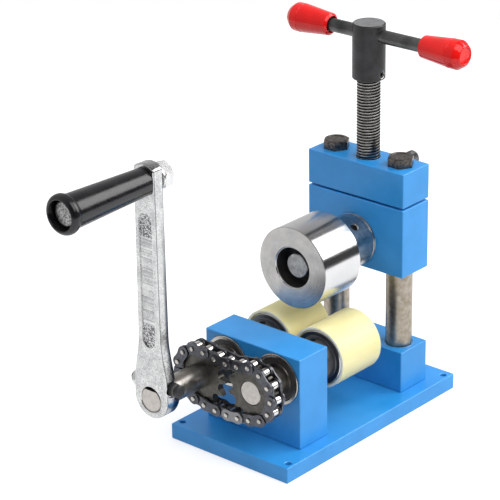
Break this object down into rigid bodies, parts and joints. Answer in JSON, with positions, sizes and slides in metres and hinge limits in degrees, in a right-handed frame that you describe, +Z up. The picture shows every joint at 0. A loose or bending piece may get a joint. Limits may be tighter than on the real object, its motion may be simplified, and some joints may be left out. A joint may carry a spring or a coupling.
{
  "type": "three-roll bangle bender",
  "caption": "Hand-cranked bench roll bender: a screw presses a steel roll down between two chain-driven padded rolls to curve strip and rings.",
  "frame": {"origin": "centre of the base plate's underside, on the bench", "axes": "+Z up; +Y away from the person at the crank, towards the guide posts; +X to that person's right"},
  "size_m": [0.1414, 0.3144, 0.2631],
  "materials": {
    "blue_paint": "satin azure paint",
    "post_steel": "ground round bar",
    "bolt_dark": "black oxide hexagon bolts",
    "small_screws": "black oxide screws",
    "bearing_dark": "dark seals between steel rings",
    "shaft_steel": "ground shaft",
    "roll_core_steel": "turned steel",
    "roll_sleeve": "cream polyurethane",
    "upper_roller_steel": "turned and polished steel",
    "sprocket_dark": "dark sprocket steel",
    "chain_dark": "dark chain plates",
    "chain_grey": "greyer closing link",
    "crank_silver": "silver paint on a rough forging",
    "bright_nut": "zinc plated",
    "grip_black": "glossy black",
    "oxide_steel": "black oxide steel",
    "knob_red": "glossy red",
    "bronze": "bronze washer"
  },
  "bodies": {
    "frame": {"base_plate": "blue_paint", "front_bearing_block": "blue_paint", "rear_post_beam": "blue_paint", "guide_post_left": "post_steel", "guide_post_right": "post_steel", "top_bridge": "blue_paint", "bridge_bolts": "bolt_dark", "post_screws": "small_screws", "block_screws": "small_screws", "left_front_bearing": "bearing_dark", "left_back_bearing": "bearing_dark", "right_front_bearing": "bearing_dark", "right_back_bearing": "bearing_dark", "chain_outer_links": "chain_dark", "chain_inner_links": "chain_dark", "chain_connecting_link": "chain_grey", "chain_offset_link": "chain_dark"},
    "crank_roll": {"left_roll_shaft": "shaft_steel", "left_roll_core": "roll_core_steel", "left_roll_sleeve": "roll_sleeve", "left_sprocket": "sprocket_dark", "left_sprocket_grub_screw": "small_screws", "left_roll_grub_screw": "small_screws", "crank_arm": "crank_silver", "crank_cotter_bolt": "small_screws", "crank_cotter_nut": "bright_nut", "grip_bolt": "bolt_dark", "grip_bolt_washer": "bright_nut", "grip_bolt_nut": "bright_nut"},
    "grip": {"crank_grip": "grip_black"},
    "right_roll": {"right_roll_shaft": "shaft_steel", "right_roll_core": "roll_core_steel", "right_roll_sleeve": "roll_sleeve", "right_sprocket": "sprocket_dark", "right_sprocket_grub_screw": "small_screws", "right_roll_grub_screw": "small_screws"},
    "head": {"sliding_head": "blue_paint", "upper_front_bearing": "bearing_dark", "upper_back_bearing": "bearing_dark", "thrust_washer": "bronze", "screw_keeper": "small_screws"},
    "upper_roll": {"upper_roller": "upper_roller_steel", "upper_roll_shaft": "shaft_steel", "upper_roll_grub_screw": "small_screws"},
    "screw": {"lead_screw": "oxide_steel", "tee_hub": "oxide_steel", "tee_hub_grub_screw": "small_screws"},
    "tommy": {"tommy_bar": "oxide_steel", "left_knob": "knob_red", "right_knob": "knob_red"},
    "lock": {"lock_screw": "small_screws"}
  },
  "joints": [
    {"name": "crank_turn", "type": "hinge", "parent": "frame", "child": "crank_roll", "pos_m": [-0.02125, 0, 0.056], "axis": [0, 1, 0], "continuous": true, "deforming": ["chain_outer_links", "chain_inner_links", "chain_connecting_link", "chain_offset_link"]},
    {"name": "right_roll_turn", "type": "hinge", "parent": "frame", "child": "right_roll", "pos_m": [0.02125, 0, 0.056], "axis": [0, 1, 0], "continuous": true},
    {"name": "grip_spin", "type": "hinge", "parent": "crank_roll", "child": "grip", "pos_m": [-0.02125, -0.17, 0.2035], "axis": [0, 1, 0], "continuous": true},
    {"name": "head_slide", "type": "slide", "parent": "frame", "child": "head", "axis": [0, 0, 1], "range_m": [-0.0125, 0]},
    {"name": "upper_roll_spin", "type": "hinge", "parent": "head", "child": "upper_roll", "pos_m": [0, 0, 0.114], "axis": [0, 1, 0], "continuous": true},
    {"name": "screw_turn", "type": "hinge", "parent": "head", "child": "screw", "pos_m": [0, 0.056, 0.16], "axis": [0, 0, 1], "range_deg": [-2251, 1]},
    {"name": "tommy_bar_slide", "type": "slide", "parent": "screw", "child": "tommy", "axis": [1, 0, 0], "range_m": [-0.0325, 0.0195]},
    {"name": "lock_screw_turn", "type": "hinge", "parent": "frame", "child": "lock", "pos_m": [0, 0.085, 0.153], "axis": [0, 1, 0], "range_deg": [-144, 360]}
  ],
  "couplings": [
    {"joint": "right_roll_turn", "follows": "crank_turn", "ratio": 1},
    {"joint": "screw_turn", "follows": "head_slide", "rad_per_m": 3141.6}
  ]
}
